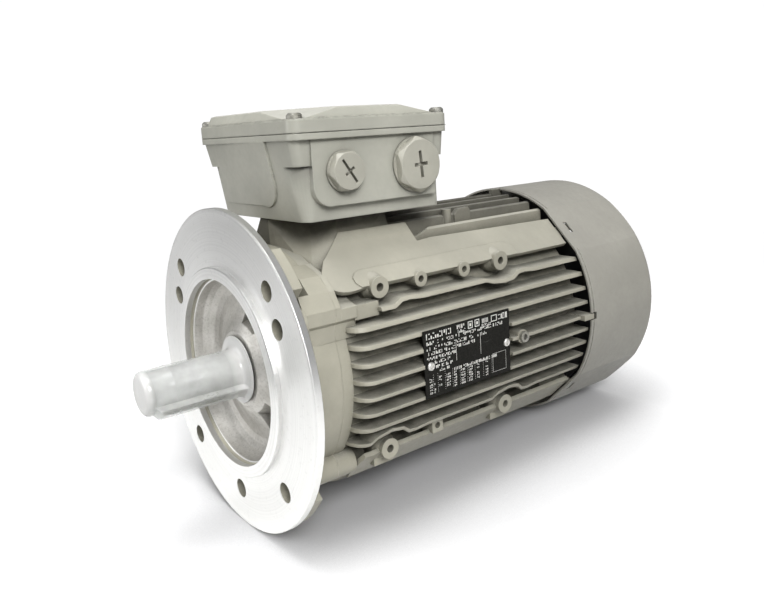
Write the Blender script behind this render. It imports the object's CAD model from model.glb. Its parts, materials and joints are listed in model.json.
import json
import math
import random

import bmesh
import bpy
from mathutils import Matrix, Vector


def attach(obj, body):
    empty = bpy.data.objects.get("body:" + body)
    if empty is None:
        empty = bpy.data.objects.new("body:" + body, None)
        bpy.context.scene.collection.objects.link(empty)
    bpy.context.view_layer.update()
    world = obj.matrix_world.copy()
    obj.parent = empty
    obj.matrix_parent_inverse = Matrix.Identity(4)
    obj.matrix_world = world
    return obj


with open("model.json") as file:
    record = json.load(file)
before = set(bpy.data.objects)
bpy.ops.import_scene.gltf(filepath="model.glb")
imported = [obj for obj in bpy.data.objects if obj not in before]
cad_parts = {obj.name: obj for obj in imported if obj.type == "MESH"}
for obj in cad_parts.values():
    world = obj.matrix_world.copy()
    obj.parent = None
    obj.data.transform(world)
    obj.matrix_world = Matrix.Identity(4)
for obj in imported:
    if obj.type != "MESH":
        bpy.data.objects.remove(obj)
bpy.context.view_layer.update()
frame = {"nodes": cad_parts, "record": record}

NODES = frame["nodes"]
MM = 0.001


# ------------------------------------------------------------------ material helpers
class Mat:
    """A node material built step by step. Positions are object coordinates in metres, which are the row's own."""

    def __init__(self, name):
        self.m = bpy.data.materials.new(name)
        self.m.use_nodes = True
        self.t = self.m.node_tree
        self.t.nodes.clear()
        self.out = self.n("ShaderNodeOutputMaterial")
        self.co = self.n("ShaderNodeTexCoord").outputs["Object"]

    def n(self, kind, ins=None, **props):
        nd = self.t.nodes.new(kind)
        for k, v in props.items():
            setattr(nd, k, v)
        for k, v in (ins or {}).items():
            self.put(nd.inputs[k], v)
        return nd

    def put(self, sock, v):
        if isinstance(v, bpy.types.NodeSocket):
            self.t.links.new(v, sock)
        elif isinstance(v, bpy.types.Node):
            self.t.links.new(v.outputs[0], sock)
        elif isinstance(v, (tuple, list)) and len(v) == 3 and sock.type == "RGBA":
            sock.default_value = (*v, 1)
        else:
            sock.default_value = v

    def noise(self, scale, detail=3.0, rough=0.5, vec=None, dist=0.0):
        nd = self.n("ShaderNodeTexNoise", {"Scale": scale, "Detail": detail, "Roughness": rough, "Distortion": dist})
        self.put(nd.inputs["Vector"], vec if vec is not None else self.co)
        return nd.outputs["Fac"]

    def scaled(self, sx, sy, sz, vec=None):
        nd = self.n("ShaderNodeMapping")
        self.put(nd.inputs["Vector"], vec if vec is not None else self.co)
        nd.inputs["Scale"].default_value = (sx, sy, sz)
        return nd.outputs[0]

    def voronoi(self, scale, feature="F1"):
        nd = self.n("ShaderNodeTexVoronoi", {"Scale": scale}, feature=feature)
        self.put(nd.inputs["Vector"], self.co)
        return nd.outputs["Distance"]

    def math(self, op, a, b=0.0, clamp=False):
        nd = self.n("ShaderNodeMath", operation=op, use_clamp=clamp)
        self.put(nd.inputs[0], a)
        self.put(nd.inputs[1], b)
        return nd.outputs[0]

    def rng(self, v, a, b, c=0.0, d=1.0):
        nd = self.n("ShaderNodeMapRange", {"Value": v, "From Min": a, "From Max": b, "To Min": c, "To Max": d}, clamp=True)
        return nd.outputs[0]

    def mix(self, f, a, b, blend="MIX"):
        nd = self.n("ShaderNodeMix", data_type="RGBA", blend_type=blend)
        self.put(nd.inputs["Factor"], f)
        for sock, v in ((nd.inputs[6], a), (nd.inputs[7], b)):
            self.put(sock, (*v, 1) if isinstance(v, (tuple, list)) and len(v) == 3 else v)
        return nd.outputs[2]

    def mixf(self, f, a, b):
        nd = self.n("ShaderNodeMix", data_type="FLOAT")
        self.put(nd.inputs["Factor"], f)
        self.put(nd.inputs[2], a)
        self.put(nd.inputs[3], b)
        return nd.outputs[0]

    def xyz(self):
        s = self.n("ShaderNodeSeparateXYZ", {"Vector": self.co})
        return s.outputs[0], s.outputs[1], s.outputs[2]

    def radius(self, y_axis=True):
        x, y, z = self.xyz()
        return self.math("SQRT", self.math("ADD", self.math("MULTIPLY", x, x), self.math("MULTIPLY", z, z)))

    def soft_normal(self, r):
        return self.n("ShaderNodeBevel", {"Radius": r}, samples=4).outputs[0]

    def bump(self, height, strength, dist, normal=None):
        nd = self.n("ShaderNodeBump", {"Height": height, "Strength": strength, "Distance": dist})
        if normal is not None:
            self.put(nd.inputs["Normal"], normal)
        return nd.outputs[0]

    def ao(self, dist, samples=4):
        return self.n("ShaderNodeAmbientOcclusion", {"Distance": dist}, samples=samples).outputs["AO"]

    def pbr(self, **ins):
        nd = self.n("ShaderNodeBsdfPrincipled")
        for k, v in ins.items():
            self.put(nd.inputs[k.replace("_", " ")], v)
        return nd

    def done(self, shader):
        self.t.links.new(shader.outputs[0] if isinstance(shader, bpy.types.Node) else shader, self.out.inputs["Surface"])
        return self.m


def metal(name, base, rough, grain=None, grain_amp=0.12, spots=0.15, bevel=0.0004, dirt=0.3, metallic=1.0, dirt_col=(0.05, 0.045, 0.04), tarnish=None):
    """Bare metal: directional grain from a stretched noise, patchy roughness, dull spots and grime in the corners."""
    M = Mat(name)
    g = grain or (1.0, 1.0, 1.0)
    streak = M.noise(420, 4, 0.65, M.scaled(*g))
    patch = M.noise(46, 4, 0.6)
    col = M.mix(M.rng(patch, 0.35, 0.7), tuple(c * 0.90 for c in base), base)
    col = M.mix(M.rng(streak, 0.35, 0.65, 0, grain_amp * 2), col, tuple(c * 0.62 for c in base))
    if tarnish:
        col = M.mix(M.rng(M.noise(75, 5, 0.65), 0.5, 0.72, 0, 0.6), col, tarnish)
    ao = M.ao(0.005)
    grime = M.math("MULTIPLY", M.rng(ao, 0.8, 0.2, 0, dirt), M.rng(patch, 0.25, 0.6, 0.4, 1.0))
    col = M.mix(grime, col, dirt_col)
    nrm = M.soft_normal(bevel)
    b = M.bump(streak, grain_amp, 0.0003, nrm)
    b = M.bump(M.noise(900, 3, 0.6), 0.05, 0.0002, b)
    r = M.mixf(M.rng(streak, 0.3, 0.7), rough, min(1, rough + 0.13))
    r = M.mixf(M.rng(M.noise(150, 4, 0.6), 0.55, 0.7, 0, spots * 2), r, min(1, rough + 0.3))
    r = M.mixf(grime, r, 0.85)
    return M.done(M.pbr(Base_Color=col, Metallic=M.math("SUBTRACT", metallic, M.math("MULTIPLY", grime, 0.7)), Roughness=r, Normal=b))


def soft(name, base, rough, grain_scale=700, grain_bump=0.12, drift=0.10, dust=0.25, dust_col=(0.42, 0.40, 0.35), spec=0.5, subsurface=0.0):
    """Moulded plastic or rubber: fine grain, slight colour drift, pale dust on faces that look up."""
    M = Mat(name)
    big = M.noise(60, 4, 0.6)
    fine = M.noise(grain_scale, 4, 0.6)
    col = M.mix(M.rng(big, 0.35, 0.65), tuple(c * (1 - drift) for c in base), tuple(min(1, c * (1 + drift)) for c in base))
    up = M.n("ShaderNodeSeparateXYZ", {"Vector": M.n("ShaderNodeNewGeometry").outputs["Normal"]}).outputs[2]
    fall = M.math("MULTIPLY", M.rng(up, 0.3, 1.0, 0, dust), M.rng(M.noise(210, 4, 0.6), 0.4, 0.65, 0.2, 1))
    col = M.mix(fall, col, dust_col)
    nrm = M.soft_normal(0.0004)
    b = M.bump(fine, grain_bump, 0.0002, nrm)
    b = M.bump(M.noise(140, 3, 0.6), 0.06, 0.0005, b)
    r = M.mixf(M.rng(fine, 0.3, 0.7), rough - 0.08, min(1, rough + 0.08))
    r = M.mixf(fall, r, 0.9)
    return M.done(M.pbr(Base_Color=col, Roughness=r, Normal=b, Specular_IOR_Level=spec))


def paint_core(M, base, rough, bevel, cast, dirt, mottling, dark_mask=None, reach=0.016, settled=0.0, film=0.0):
    """The coated-casting look as sockets (colour, roughness, normal), so the flange can use it behind its machined face."""
    big = M.noise(28, 4, 0.55)
    fine = M.noise(260, 5, 0.6)
    dark = tuple(c * (1 - 2.2 * mottling) for c in base)
    light = tuple(min(1, c * (1 + mottling)) for c in base)
    col = M.mix(M.rng(big, 0.35, 0.65), dark, light)
    col = M.mix(M.rng(fine, 0.42, 0.7, 0, 0.25), col, tuple(c * 0.86 for c in base))
    if film:
        x, y, z = M.xyz()
        col = M.mix(M.math("MULTIPLY", M.rng(y, 0.085, 0.185, 0, film), M.rng(M.noise(35, 4, 0.6), 0.3, 0.65, 0.7, 1.0)), col, tuple(c * 0.35 for c in base))
    if settled:
        up = M.n("ShaderNodeSeparateXYZ", {"Vector": M.n("ShaderNodeNewGeometry").outputs["Normal"]}).outputs[2]
        fall = M.math("MULTIPLY", M.rng(up, 0.55, 1.0, 0, settled), M.rng(M.noise(120, 4, 0.6), 0.3, 0.65, 0.75, 1.0))
        col = M.mix(fall, col, (0.62, 0.61, 0.55))
    ao = M.ao(reach)
    grime = M.math("MULTIPLY", M.rng(ao, 0.86, 0.20, 0, dirt), M.rng(M.noise(90, 4, 0.6), 0.3, 0.6, 0.70, 1.0))
    col = M.mix(grime, col, (0.045, 0.044, 0.032))
    specks = M.rng(M.voronoi(900), 0.05, 0.09, 1, 0)
    specks = M.math("MULTIPLY", specks, M.rng(M.noise(55, 2), 0.52, 0.6))
    col = M.mix(M.math("MULTIPLY", specks, 0.35), col, (0.16, 0.15, 0.13))
    nrm = M.soft_normal(bevel)
    geo = M.n("ShaderNodeNewGeometry").outputs["Normal"]
    dot = M.n("ShaderNodeVectorMath", operation="DOT_PRODUCT")
    M.put(dot.inputs[0], nrm)
    M.put(dot.inputs[1], geo)
    edge = M.rng(dot.outputs["Value"], 0.985, 0.90)
    wear = M.math("MULTIPLY", edge, M.rng(M.noise(190, 4, 0.65), 0.40, 0.60))
    col = M.mix(M.math("MULTIPLY", wear, 0.5), col, tuple(min(1, c * 1.5) for c in base))
    if dark_mask is not None:
        dark = dark_mask(M)
        col = M.mix(dark, col, tuple(c * 0.04 for c in base))
    b = M.bump(M.noise(1500, 3, 0.6), 0.10 * cast, 0.0002, nrm)
    b = M.bump(M.noise(330, 4, 0.6), 0.18 * cast, 0.0006, b)
    r = M.mixf(M.rng(fine, 0.3, 0.7), rough - 0.06, rough + 0.10)
    r = M.mixf(grime, r, 0.8)
    if dark_mask is not None:
        r = M.mixf(dark, r, 0.95)
    return col, r, b


def paint(name, base, rough=0.42, bevel=0.0007, cast=1.0, dirt=0.85, mottling=0.05, dark_mask=None, reach=0.016, settled=0.0, film=0.0):
    """Coated casting: slight colour drift, orange peel over a cast grain, grime in the corners, rubbed edges."""
    M = Mat(name)
    col, r, b = paint_core(M, base, rough, bevel, cast, dirt, mottling, dark_mask, reach, settled, film)
    return M.done(M.pbr(Base_Color=col, Roughness=r, Normal=b, Specular_IOR_Level=0.45, Coat_Weight=0.10, Coat_Roughness=0.25))


def neck_shadow(M):
    """Oil and dust sit in the narrow space round the neck under the terminal box, and most of all on its front face."""
    x, y, z = M.xyz()
    low, high = M.rng(z, 0.0700, 0.0720), M.rng(z, 0.0900, 0.0880)
    front = M.math("MULTIPLY", M.math("MULTIPLY", M.rng(y, 0.0338, 0.0350, 1, 0), low), M.math("MULTIPLY", M.rng(x, 0.0050, 0.0034), 0.9))
    band = M.math("MULTIPLY", M.rng(z, 0.0640, 0.0800), M.math("MULTIPLY", high, M.rng(M.math("ABSOLUTE", x), 0.036, 0.031)))
    band = M.math("MULTIPLY", band, M.rng(M.noise(60, 4, 0.6), 0.25, 0.7, 0.50, 0.72))
    return M.math("MAXIMUM", front, band)


def corner_grime(M):
    """Dirt collects under the fuller corners of the terminal box: a dark line below the step that fades down the wall."""
    x, y, z = M.xyz()
    reach = M.math("ADD", M.math("ABSOLUTE", x), M.math("ABSOLUTE", M.math("SUBTRACT", y, 0.0791)))
    corner = M.math("MULTIPLY", M.rng(reach, 0.0932, 0.0972), M.math("LESS_THAN", M.math("ABSOLUTE", x), 0.0574))
    line = M.math("MULTIPLY", M.rng(z, 0.1192, 0.1213, 0, 0.80), M.math("LESS_THAN", z, 0.12195))
    wash = M.math("MULTIPLY", M.rng(z, 0.1070, 0.1205, 0, 0.28), M.math("LESS_THAN", z, 0.12195))
    return M.math("MULTIPLY", corner, M.math("MAXIMUM", line, wash))


PAINT = (0.415, 0.398, 0.325)
BOX = (0.435, 0.432, 0.375)
COVER = (0.330, 0.320, 0.284)
m_housing = paint("housing_paint", PAINT, dark_mask=neck_shadow, settled=0.4, film=0.30)
m_box = paint("box_paint", BOX, rough=0.38, bevel=0.0011, cast=0.7, dark_mask=corner_grime, dirt=0.8, reach=0.007, settled=0.7)
m_plug = paint("plug_paint", (0.43, 0.42, 0.36), rough=0.34, bevel=0.0005, cast=0.4, dirt=0.5, reach=0.006)
m_cover = paint("cover_paint", COVER, rough=0.40, bevel=0.0008, cast=0.45, dirt=0.6, mottling=0.035)


def flange_material():
    """Aluminium casting, bare where it was turned (mounting face, spigot, rim), as cast in the recess, coated behind the rim."""
    M = Mat("flange_aluminium")
    pcol, prough, pnrm = paint_core(M, PAINT, 0.42, 0.0007, 1.0, 0.55, 0.05)
    x, y, z = M.xyz()
    r = M.radius()
    # turning marks: fine rings with an uneven pitch
    rings = M.math("SINE", M.math("MULTIPLY", r, 14500.0))
    wob = M.n("ShaderNodeCombineXYZ", {0: r, 1: 0.0, 2: 0.0}).outputs[0]
    bands = M.noise(900, 4, 0.7, wob)
    wide = M.noise(110, 3, 0.6, wob)
    scr = M.noise(260, 5, 0.7)
    turned = M.mix(M.rng(bands, 0.3, 0.7), (0.66, 0.66, 0.65), (0.84, 0.84, 0.83))
    turned = M.mix(M.rng(wide, 0.35, 0.7, 0, 0.35), turned, (0.60, 0.60, 0.595))
    turned = M.mix(M.rng(scr, 0.56, 0.74, 0, 0.45), turned, (0.50, 0.50, 0.49))
    nrm = M.soft_normal(0.0005)
    tn = M.bump(rings, 0.035, 0.0002, nrm)
    tn = M.bump(bands, 0.10, 0.0002, tn)
    tn = M.bump(scr, 0.04, 0.0003, tn)
    tr = M.mixf(M.rng(bands, 0.3, 0.7), 0.30, 0.42)
    tangent = M.n("ShaderNodeTangent", direction_type="RADIAL", axis="Y").outputs[0]
    t_bsdf = M.pbr(Base_Color=turned, Metallic=0.92, Roughness=tr, Normal=tn, Anisotropic=0.55, Tangent=tangent)
    # as cast: pitted grain, duller, with flow patches
    grain = M.noise(620, 5, 0.65)
    flow = M.noise(40, 4, 0.6, M.scaled(1, 2.2, 1))
    cast = M.mix(M.rng(flow, 0.35, 0.68), (0.42, 0.408, 0.38), (0.60, 0.588, 0.56))
    cast = M.mix(M.rng(grain, 0.5, 0.72, 0, 0.5), cast, (0.27, 0.26, 0.235))
    ao = M.ao(0.014)
    cast = M.mix(M.rng(ao, 0.75, 0.15, 0, 0.5), cast, (0.14, 0.14, 0.12))
    cn = M.bump(grain, 0.30, 0.0005, M.soft_normal(0.0012))
    cn = M.bump(M.noise(120, 4, 0.6), 0.20, 0.0012, cn)
    c_bsdf = M.pbr(Base_Color=cast, Metallic=0.80, Roughness=M.mixf(M.rng(grain, 0.3, 0.7), 0.40, 0.55), Normal=cn)
    p_bsdf = M.pbr(Base_Color=pcol, Roughness=prough, Normal=pnrm, Specular_IOR_Level=0.45, Coat_Weight=0.10, Coat_Roughness=0.25)
    front = M.math("LESS_THAN", y, 0.00035)
    rim = M.math("MULTIPLY", M.math("GREATER_THAN", r, 0.0991), M.math("LESS_THAN", y, 0.0047))
    bore = M.math("MULTIPLY", M.math("LESS_THAN", y, 0.0026), M.math("LESS_THAN", r, 0.0573))
    edge = M.math("MAXIMUM", M.math("MAXIMUM", front, rim), bore)
    recess = M.math("MULTIPLY", M.math("LESS_THAN", r, 0.0573), M.math("LESS_THAN", y, 0.0235))
    m1 = M.n("ShaderNodeMixShader", {0: recess})
    M.put(m1.inputs[1], p_bsdf)
    M.put(m1.inputs[2], c_bsdf)
    m2 = M.n("ShaderNodeMixShader", {0: edge})
    M.put(m2.inputs[1], m1.outputs[0])
    M.put(m2.inputs[2], t_bsdf)
    return M.done(m2)


m_flange = flange_material()


def laminations():
    M = Mat("lamination_steel")
    x, y, z = M.xyz()
    sheets = M.math("SINE", M.math("MULTIPLY", y, 12566.0))
    tint = M.noise(700, 2, 0.5, M.n("ShaderNodeCombineXYZ", {0: 0.0, 1: y, 2: 0.0}).outputs[0])
    col = M.mix(M.rng(sheets, -0.6, 0.9), (0.09, 0.095, 0.11), (0.30, 0.31, 0.335))
    col = M.mix(M.rng(tint, 0.4, 0.7, 0, 0.5), col, (0.20, 0.17, 0.14))
    b = M.bump(sheets, 0.35, 0.0002, M.soft_normal(0.0002))
    return M.done(M.pbr(Base_Color=col, Metallic=0.85, Roughness=M.mixf(M.rng(tint, 0.3, 0.7), 0.42, 0.62), Normal=b))


def winding():
    M = Mat("winding_copper")
    x, y, z = M.xyz()
    wires = M.n("ShaderNodeTexWave", {"Vector": M.co, "Scale": 420.0, "Distortion": 5.0, "Detail": 2.0, "Detail Scale": 1.2}, bands_direction="DIAGONAL").outputs["Fac"]
    col = M.mix(wires, (0.20, 0.055, 0.018), (0.62, 0.24, 0.075))
    col = M.mix(M.rng(M.noise(120, 4, 0.6), 0.5, 0.7, 0, 0.6), col, (0.28, 0.13, 0.03))
    b = M.bump(wires, 0.5, 0.0005, M.soft_normal(0.0006))
    return M.done(M.pbr(Base_Color=col, Metallic=0.6, Roughness=M.mixf(M.noise(200, 3), 0.22, 0.5), Normal=b, Coat_Weight=0.5, Coat_Roughness=0.15))


def plate():
    """Printed sheet: black coat with a very fine grain, rubbed at its rim."""
    M = Mat("plate_black")
    fine = M.noise(900, 4, 0.65)
    scratch = M.noise(500, 4, 0.7, M.scaled(1, 0.12, 1.6))
    col = M.mix(M.rng(fine, 0.35, 0.65), (0.010, 0.010, 0.009), (0.022, 0.0215, 0.019))
    col = M.mix(M.rng(scratch, 0.66, 0.76, 0, 0.5), col, (0.16, 0.16, 0.15))
    nrm = M.soft_normal(0.00025)
    b = M.bump(fine, 0.06, 0.0001, nrm)
    return M.done(M.pbr(Base_Color=col, Roughness=M.mixf(M.rng(fine, 0.3, 0.7), 0.50, 0.66), Normal=b, Specular_IOR_Level=0.06))


def print_white():
    M = Mat("plate_print")
    fine = M.noise(1600, 3, 0.6)
    col = M.mix(M.rng(fine, 0.40, 0.66), (0.62, 0.62, 0.58), (0.95, 0.94, 0.90))
    b = M.bump(fine, 0.08, 0.00005)
    return M.done(M.pbr(Base_Color=col, Roughness=M.mixf(fine, 0.45, 0.6), Normal=b))


def sleeve_plastic():
    """Glossy milky film: the ground shaft shows through it as soft grey bands; the closed end is thicker and nearly white."""
    M = Mat("sleeve_plastic")
    x, y, z = M.xyz()
    streak = M.noise(160, 4, 0.6, M.scaled(1, 0.10, 1))
    cloud = M.noise(60, 3, 0.55)
    col = M.mix(M.rng(cloud, 0.3, 0.7), (0.90, 0.90, 0.885), (0.97, 0.97, 0.96))
    nrm = M.soft_normal(0.0005)
    b = M.bump(streak, 0.16, 0.0009, nrm)
    b = M.bump(M.noise(900, 3, 0.6), 0.03, 0.0002, b)
    body = M.pbr(Base_Color=col, Roughness=M.mixf(M.rng(streak, 0.3, 0.7), 0.06, 0.16), Normal=b, Specular_IOR_Level=0.7, Coat_Weight=0.4, Coat_Roughness=0.06)
    through = M.n("ShaderNodeBsdfTranslucent", {"Color": (0.95, 0.95, 0.94, 1), "Normal": b})
    clear = M.n("ShaderNodeBsdfTransparent", {"Color": (0.96, 0.97, 0.96, 1)})
    m1 = M.n("ShaderNodeMixShader", {0: 0.30})
    M.put(m1.inputs[1], body)
    M.put(m1.inputs[2], through)
    side = M.rng(y, -0.0545, -0.0505)
    disc = M.rng(y, -0.0040, 0.0045, 1, 0.12)
    share = M.math("MULTIPLY", M.math("MULTIPLY", M.rng(cloud, 0.3, 0.7, 0.74, 0.60), side), disc)
    m2 = M.n("ShaderNodeMixShader", {0: share})
    M.put(m2.inputs[1], m1.outputs[0])
    M.put(m2.inputs[2], clear)
    return M.done(m2)


def wires():
    M = Mat("wire_insulation")
    x, y, z = M.xyz()
    braid = M.n("ShaderNodeTexWave", {"Vector": M.co, "Scale": 900.0, "Distortion": 1.5}, bands_direction="DIAGONAL").outputs["Fac"]
    col = M.mix(braid, (0.34, 0.035, 0.022), (0.55, 0.075, 0.045))
    col = M.mix(M.rng(M.noise(120, 3), 0.5, 0.7, 0, 0.4), col, (0.62, 0.42, 0.30))
    return M.done(M.pbr(Base_Color=col, Roughness=M.mixf(braid, 0.5, 0.7), Normal=M.bump(braid, 0.4, 0.0003)))


MATERIALS = {
    "housing_paint": m_housing,
    "flange_aluminium": m_flange,
    "box_paint": m_box,
    "cover_paint": m_cover,
    "lamination_steel": laminations(),
    "winding_copper": winding(),
    "bearing_steel": metal("bearing_steel", (0.72, 0.72, 0.73), 0.12, (1, 0.05, 1), 0.05, 0.05, 0.0003, 0.15),
    "brass": metal("brass", (0.72, 0.52, 0.24), 0.28, (1, 0.1, 1), 0.10, 0.15, 0.0003, 0.35, tarnish=(0.36, 0.22, 0.09)),
    "fastener_steel": metal("fastener_steel", (0.56, 0.56, 0.54), 0.40, None, 0.10, 0.25, 0.0003, 0.5, tarnish=(0.42, 0.40, 0.33)),
    "black_rubber": soft("black_rubber", (0.028, 0.027, 0.026), 0.62, 800, 0.15, 0.15, 0.25),
    "shaft_steel": metal("shaft_steel", (0.66, 0.66, 0.67), 0.20, (0.06, 2.2, 0.06), 0.10, 0.10, 0.0003, 0.25),
    "cast_aluminium": metal("cast_aluminium", (0.72, 0.71, 0.68), 0.40, None, 0.14, 0.30, 0.0004, 0.45),
    "fan_plastic": soft("fan_plastic", (0.045, 0.045, 0.045), 0.50, 600, 0.12, 0.12, 0.45),
    "plate_black": plate(),
    "board_plastic": soft("board_plastic", (0.16, 0.055, 0.028), 0.36, 500, 0.10, 0.15, 0.25),
    "wire_insulation": wires(),
}
m_dull = metal("dull_steel", (0.40, 0.395, 0.36), 0.50, None, 0.12, 0.30, 0.0003, 0.6, tarnish=(0.28, 0.27, 0.22))
m_gasket = soft("gasket_grey", (0.30, 0.295, 0.25), 0.75, 700, 0.15, 0.12, 0.1)
SLOTS = {s["node"]: s["material_slot"] for s in frame["record"]["subparts"]}
for node, ob in NODES.items():
    m = MATERIALS[SLOTS[node]]
    if node.startswith("plug_") and not node.endswith("seal"):
        m = m_plug
    if node == "lid_gasket":
        m = m_gasket
    if node in ("lid_screws", "earth_screw"):
        m = m_dull
    if node == "rating_plate_rivets":
        m = MATERIALS["cast_aluminium"]
    ob.data.materials.clear()
    ob.data.materials.append(m)


# ------------------------------------------------------------------ pieces the CAD leaves out
def add_mesh(name, verts, faces, material, body, angle=0.6):
    me = bpy.data.meshes.new(name)
    me.from_pydata([tuple(c * MM for c in v) for v in verts], [], faces)
    me.materials.append(material)
    me.validate()
    for p in me.polygons:
        p.use_smooth = True
    me.set_sharp_from_angle(angle=angle)
    ob = bpy.data.objects.new(name, me)
    bpy.context.scene.collection.objects.link(ob)
    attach(ob, body)
    return ob


# Protective sleeve pushed over the shaft end: a tube with a ridge over the key, a closed rounded end and a flared disc.
# The rotor rests with its key pointing down and to the right, KEY_TURN about the shaft axis from straight up.
KEY_TURN = math.radians(136)
PHI = sorted(set([2 * math.pi * k / 120 for k in range(120)] + [
    (s_ * math.atan2(h_, t_)) % (2 * math.pi) for s_ in (-1, 1) for h_, t_ in
    ((4.9, 16.3), (4.6, 16.3), (4.9, 16.0), (4.25, 16.3), (4.9, 15.5), (4.9, 14.6), (4.9, 13.6), (4.9, 12.37), (5.4, 12.15), (6.2, 11.76), (3, 16.3), (1.5, 16.3))]))


def ridge_radius(phi, r, half, top):
    """Distance from the axis to the tube's wall at angle phi from the key, for a tube of radius r with a ridge of the given half width."""
    c, q = math.cos(phi), abs(math.sin(phi))
    if c <= 0 or top <= r:
        return r
    box = min(top / c, half / q if q > 1e-6 else 1e9)
    corner = math.hypot(half, top) - 0.35
    return max(r, min(box, corner))


def station(y, r, half, top):
    ring = []
    for phi in PHI:
        d = ridge_radius(phi, r, half, top)
        a = KEY_TURN + phi
        ring.append((d * math.sin(a), y, d * math.cos(a)))
    return ring


def sleeve_mesh():
    outer = [(-55.2, 4, 4.9, 0), (-55.15, 9.6, 4.9, 0), (-54.95, 10.8, 4.9, 0), (-54.5, 11.8, 4.9, 0), (-53.8, 12.55, 4.9, 0), (-52.9, 13.0, 4.9, 0),
             (-51.6, 13.2, 4.9, 0), (-50.4, 13.25, 4.6, 13.3), (-49.8, 13.25, 4.7, 14.6), (-49.2, 13.25, 4.8, 15.7), (-48.6, 13.25, 4.9, 16.2), (-46, 13.25, 4.9, 16.3),
             (-39.2, 13.28, 4.9, 16.3), (-38.7, 13.5, 4.95, 16.5), (-38.0, 13.52, 4.95, 16.5), (-37.5, 13.34, 4.9, 16.35), (-25, 13.38, 4.9, 16.35), (-10, 13.42, 4.9, 16.4),
             (1.6, 13.5, 4.9, 16.45), (2.8, 13.8, 5.0, 16.6), (3.9, 14.6, 5.3, 16.9), (4.5, 16.2, 6, 17.2), (4.75, 18.0, 0, 0), (4.9, 20.5, 0, 0), (5.15, 21.05, 0, 0), (5.5, 21.15, 0, 0)]
    inner = [(5.8, 21.0, 0, 0), (5.85, 20.3, 0, 0), (5.75, 18.0, 0, 0), (5.4, 15.8, 0, 0), (4.5, 13.9, 4.25, 15.9), (3.4, 12.9, 4.25, 15.6), (1.6, 12.6, 4.22, 15.5), (-25, 12.5, 4.2, 15.45),
             (-46, 12.45, 4.2, 15.4), (-48.0, 12.45, 4.1, 15.35), (-50.9, 12.4, 4, 0), (-52.6, 12.2, 4, 0), (-53.7, 11.5, 4, 0), (-54.3, 10.2, 4, 0), (-54.5, 9, 4, 0), (-54.55, 4, 4, 0)]
    rings = [station(*v) for v in outer + inner]
    n = len(PHI)
    verts = [q for ring in rings for q in ring]
    faces = []
    for i in range(len(rings) - 1):
        for k in range(n):
            k2 = (k + 1) % n
            faces.append((i * n + k, i * n + k2, (i + 1) * n + k2, (i + 1) * n + k))
    verts += [(0, -55.2, 0), (0, -54.55, 0)]
    first, last = len(verts) - 2, len(verts) - 1
    base = (len(rings) - 1) * n
    for k in range(n):
        k2 = (k + 1) % n
        faces.append((first, k2, k))
        faces.append((last, base + k, base + k2))
    return verts, faces


sv, sf = sleeve_mesh()
sleeve = add_mesh("shaft_sleeve", sv, sf, sleeve_plastic(), "rotor", 0.75)
bm = bmesh.new()
bm.from_mesh(sleeve.data)
bmesh.ops.recalc_face_normals(bm, faces=bm.faces)
bm.to_mesh(sleeve.data)
bm.free()


def rounded_key():
    """Parallel key with round ends, 8 x 7 mm, in the shaft's keyway; chamfered rims."""
    y0, y1, w, c = -46.0 + 4.0, -6.0 - 4.0, 3.98, 0.5

    def outline(off, z):
        pts = []
        for i in range(17):
            a = math.pi + math.pi * i / 16
            pts.append(((w - off) * math.cos(a), y0 + (w - off) * math.sin(a), z))
        for i in range(17):
            a = math.pi * i / 16
            pts.append(((w - off) * math.cos(a), y1 + (w - off) * math.sin(a), z))
        return pts
    rings = [outline(c, 8.02), outline(0, 8.02 + c), outline(0, 15.0 - c), outline(c, 15.0)]
    ct, st = math.cos(KEY_TURN), math.sin(KEY_TURN)
    verts = [(x * ct + z * st, y, -x * st + z * ct) for ring in rings for x, y, z in ring]
    n = len(rings[0])
    faces = [tuple(range(n - 1, -1, -1)), tuple(range(3 * n, 4 * n))]
    for j in range(3):
        for k in range(n):
            k2 = (k + 1) % n
            faces.append((j * n + k, j * n + k2, (j + 1) * n + k2, (j + 1) * n + k))
    return add_mesh("shaft_key", verts, faces, MATERIALS["fastener_steel"], "rotor", 0.5)


key = rounded_key()

# Printing on the rating plate: generic marks only, rows of short strokes and a ruled table
rnd = random.Random(90)
PY0, PY1, PZ0, PZ1, PX = 86.5, 159.5, -21.0, 21.0, 83.0
quads_v, quads_f = [], []


def mark(u0, v0, u1, v1):
    """A raised printed rectangle; u runs 0..1 left to right across the plate, v runs 0..1 down it."""
    ya, yb = PY0 + (PY1 - PY0) * u0, PY0 + (PY1 - PY0) * u1
    za, zb = PZ1 - (PZ1 - PZ0) * v0, PZ1 - (PZ1 - PZ0) * v1
    i = len(quads_v)
    lo_x, hi_x = PX + 0.005, PX + 0.05
    quads_v.extend([(lo_x, ya, zb), (lo_x, yb, zb), (lo_x, yb, za), (lo_x, ya, za), (hi_x, ya, zb), (hi_x, yb, zb), (hi_x, yb, za), (hi_x, ya, za)])
    quads_f.extend([(i + 4, i + 5, i + 6, i + 7), (i + 3, i + 2, i + 1, i), (i, i + 1, i + 5, i + 4), (i + 1, i + 2, i + 6, i + 5),
                    (i + 2, i + 3, i + 7, i + 6), (i + 3, i, i + 4, i + 7)])


def blocked(u, v):
    for ry in (91.4, 156.5):
        if (PY0 + (PY1 - PY0) * u - ry) ** 2 + (PZ1 - (PZ1 - PZ0) * v + 1.2) ** 2 < 3.6 ** 2:
            return True
    return False


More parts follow.
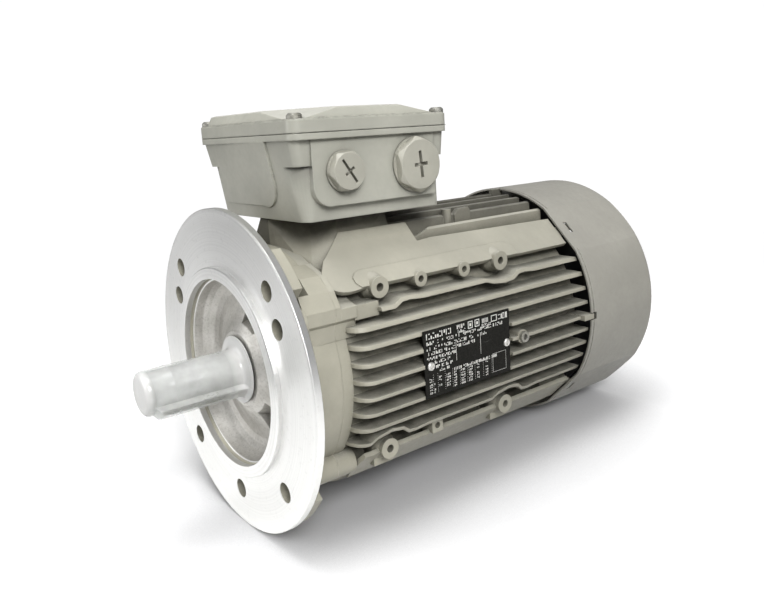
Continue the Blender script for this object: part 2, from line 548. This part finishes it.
def glyph(u, v, w, h, weight):
    """A small stand-in for a character: one to three strokes that spell nothing."""
    if blocked(u, v) or blocked(u + w, v + h):
        return
    tw = min(w * 0.42, weight * 1.35)
    th = weight * 1.25 * (PY1 - PY0) / (PZ1 - PZ0)
    kind = rnd.randrange(5)
    if kind in (0, 1):
        mark(u, v, u + tw, v + h)
    if kind == 1:
        mark(u + w * 0.55, v, u + w * 0.55 + tw, v + h)
    if kind == 2:
        mark(u, v + h * 0.45, u + w * 0.75, v + h)
    if kind == 3:
        mark(u, v, u + w * 0.75, v + h * 0.55)
    if kind == 4:
        mark(u, v, u + w * 0.8, v + th)
        mark(u, v + h - th, u + w * 0.8, v + h)


def row(u0, u1, v, h, w=0.016, gap=0.24, weight=0.004):
    u = u0
    while u < u1:
        if rnd.random() > gap:
            glyph(u, v, w * 0.8, h, weight)
        u += w


def box_outline(u0, v0, u1, v1, t=0.003):
    k = t * (PY1 - PY0) / (PZ1 - PZ0)
    mark(u0, v0, u1, v0 + k)
    mark(u0, v1 - k, u1, v1)
    mark(u0, v0 + k, u0 + t, v1 - k)
    mark(u1 - t, v0 + k, u1, v1 - k)


row(0.030, 0.34, 0.045, 0.085, 0.024, 0.08, 0.007)
row(0.37, 0.46, 0.035, 0.060, 0.015, 0.05, 0.006)
row(0.38, 0.47, 0.110, 0.050, 0.015, 0.05, 0.005)
for ca in (0.525, 0.605):
    box_outline(ca - 0.027, 0.030, ca + 0.027, 0.140, 0.007)
    mark(ca - 0.010, 0.063, ca + 0.010, 0.107)
for j in range(5):
    mark(0.665 + j * 0.016, 0.045, 0.673 + j * 0.016, 0.115)
row(0.66, 0.76, 0.130, 0.045, 0.014, 0.10, 0.005)
box_outline(0.775, 0.035, 0.845, 0.135, 0.007)
row(0.86, 0.90, 0.050, 0.075, 0.018, 0.0, 0.006)
box_outline(0.912, 0.040, 0.940, 0.130, 0.006)
mark(0.952, 0.040, 0.972, 0.130)
row(0.030, 0.90, 0.165, 0.050, 0.017, 0.16, 0.005)
row(0.030, 0.72, 0.245, 0.050, 0.016, 0.30, 0.0045)
row(0.030, 0.57, 0.320, 0.048, 0.016, 0.28, 0.0045)
row(0.030, 0.34, 0.395, 0.045, 0.016, 0.22, 0.0045)
row(0.030, 0.30, 0.465, 0.045, 0.016, 0.35, 0.0045)
row(0.120, 0.30, 0.535, 0.045, 0.016, 0.25, 0.0045)
row(0.160, 0.27, 0.600, 0.040, 0.016, 0.25, 0.0045)
mark(0.352, 0.29, 0.355, 0.56)
mark(0.637, 0.26, 0.640, 0.58)
row(0.32, 0.86, 0.655, 0.045, 0.018, 0.22, 0.0050)
box_outline(0.780, 0.640, 0.945, 0.935, 0.0022)
for u in (0.085, 0.135, 0.215, 0.300, 0.385, 0.470, 0.560, 0.660, 0.765):
    for j in range(9):
        mark(u, 0.66 + 0.033 * j, u + 0.0020, 0.675 + 0.033 * j)
for r_ in range(6):
    v = 0.712 + r_ * 0.041
    for u, n_ in ((0.045, 2), (0.095, 1), (0.150, 2), (0.232, 3), (0.318, 2), (0.400, 3), (0.488, 3), (0.585, 2), (0.690, 2)):
        if rnd.random() < 0.88:
            for k in range(n_):
                glyph(u + 0.0165 * k, v, 0.0125, 0.027, 0.0050)
printing = add_mesh("rating_plate_print", quads_v, quads_f, print_white(), "stator", 0.2)

# ------------------------------------------------------------------ stage, light and camera
cam_data = bpy.data.cameras.new("camera")
cam = bpy.data.objects.new("camera", cam_data)
bpy.context.scene.collection.objects.link(cam)
yaw, pitch, roll = 0.914425, 0.189676, -0.060245
right0 = Vector((math.cos(yaw), math.sin(yaw), 0))
fwd = Vector((-math.sin(yaw) * math.cos(pitch), math.cos(yaw) * math.cos(pitch), -math.sin(pitch)))
up0 = right0.cross(fwd)
right = math.cos(roll) * right0 + math.sin(roll) * up0
up = -math.sin(roll) * right0 + math.cos(roll) * up0
rot = Matrix((right, up, -fwd)).transposed()
cam.matrix_world = Matrix.Translation(Vector((0.404843, -0.178528, 0.139659))) @ rot.to_4x4()
cam_data.sensor_width = 36.0
cam_data.lens = 733.506 * 36.0 / 764.0
cam_data.shift_x = (382 - 395.991) / 764.0
cam_data.shift_y = (269.367 - 300) / 764.0
cam_data.clip_start, cam_data.clip_end = 0.01, 50
bpy.context.scene.camera = cam
# floor: a pale sheet that touches the flange rim and the fan cover, so the motor's axis leans about two degrees
t = math.atan2(11.0, 317.0)
floor_mesh = bpy.data.meshes.new("floor")
F = 6.0
c0 = Vector((0, 0, -0.1002))
d = Vector((0, math.cos(t), math.sin(t)))
floor_mesh.from_pydata([tuple(c0 + Vector((sx * F, 0, 0)) + d * (sy * F)) for sx, sy in ((-1, -1), (1, -1), (1, 1), (-1, 1))], [], [(0, 1, 2, 3)])
floor = bpy.data.objects.new("floor", floor_mesh)
bpy.context.scene.collection.objects.link(floor)
FM = Mat("floor_sheet")
path = FM.n("ShaderNodeLightPath")
tone = FM.mix(FM.rng(FM.noise(3, 3), 0.3, 0.7), (0.22, 0.22, 0.215), (0.26, 0.26, 0.255))
near = FM.rng(FM.ao(0.16, 8), 0.95, 0.35)
mirror = FM.mix(FM.rng(FM.math("ABSOLUTE", FM.math("ADD", FM.xyz()[1], 0.0)), 0.05, 0.60), (1.18, 1.18, 1.17), (0.50, 0.50, 0.50))
seen = FM.mix(path.outputs["Is Glossy Ray"], tone, mirror)
seen = FM.mix(path.outputs["Is Camera Ray"], seen, FM.mix(near, (1.12, 1.12, 1.125), (0.54, 0.54, 0.55)))
fd = FM.n("ShaderNodeBsdfDiffuse", {"Color": seen, "Normal": FM.bump(FM.noise(160, 3), 0.05, 0.0005)})
white = FM.n("ShaderNodeEmission", {"Color": (1, 1, 1, 1), "Strength": 1.03})
fx, fy, fz = FM.xyz()
away = FM.math("SQRT", FM.math("ADD", FM.math("MULTIPLY", fx, fx), FM.math("POWER", FM.math("SUBTRACT", fy, 0.12), 2.0)))
far = FM.math("MULTIPLY", FM.rng(away, 0.34, 0.95), path.outputs["Is Camera Ray"])
fm = FM.n("ShaderNodeMixShader", {0: far})
FM.put(fm.inputs[1], fd)
FM.put(fm.inputs[2], white)
floor_mesh.materials.append(FM.done(fm))


def area(name, where, aim, size, watts, tint=(1, 1, 1)):
    light = bpy.data.lights.new(name, "AREA")
    light.shape = "DISK"
    light.size = size
    light.energy = watts
    light.color = tint
    ob = bpy.data.objects.new(name, light)
    ob.location = where
    ob.rotation_euler = (Vector(aim) - Vector(where)).to_track_quat("-Z", "Y").to_euler()
    bpy.context.scene.collection.objects.link(ob)
    ob.visible_camera = False
    return ob


area("top", (0.20, -0.15, 1.9), (0, 0.10, 0), 1.0, 16.0)
area("right", (1.45, -0.47, 0.98), (0, 0.10, 0), 0.8, 29.0)
area("front", (-0.9, -1.6, 0.5), (0, 0.05, 0), 1.2, 13.0)
world = bpy.data.worlds.new("world")
bpy.context.scene.world = world
world.use_nodes = True
wt = world.node_tree
wt.nodes.clear()
w_out = wt.nodes.new("ShaderNodeOutputWorld")
w_mix = wt.nodes.new("ShaderNodeMixShader")
w_cam = wt.nodes.new("ShaderNodeBackground")
w_lit = wt.nodes.new("ShaderNodeBackground")
w_path = wt.nodes.new("ShaderNodeLightPath")
w_cam.inputs[0].default_value = (1, 1, 1, 1)
w_cam.inputs[1].default_value = 1.02
w_co = wt.nodes.new("ShaderNodeTexCoord")
w_sep = wt.nodes.new("ShaderNodeSeparateXYZ")
w_rng = wt.nodes.new("ShaderNodeMapRange")
wt.links.new(w_co.outputs["Generated"], w_sep.inputs[0])
wt.links.new(w_sep.outputs[2], w_rng.inputs["Value"])
w_rng.inputs["From Min"].default_value = -0.2
w_rng.inputs["From Max"].default_value = 0.9
w_rng.inputs["To Min"].default_value = 0.20
w_rng.inputs["To Max"].default_value = 0.46
wt.links.new(w_rng.outputs[0], w_lit.inputs[1])
wt.links.new(w_path.outputs["Is Camera Ray"], w_mix.inputs[0])
wt.links.new(w_lit.outputs[0], w_mix.inputs[1])
wt.links.new(w_cam.outputs[0], w_mix.inputs[2])
wt.links.new(w_mix.outputs[0], w_out.inputs[0])
bpy.context.scene.view_settings.view_transform = "Standard"
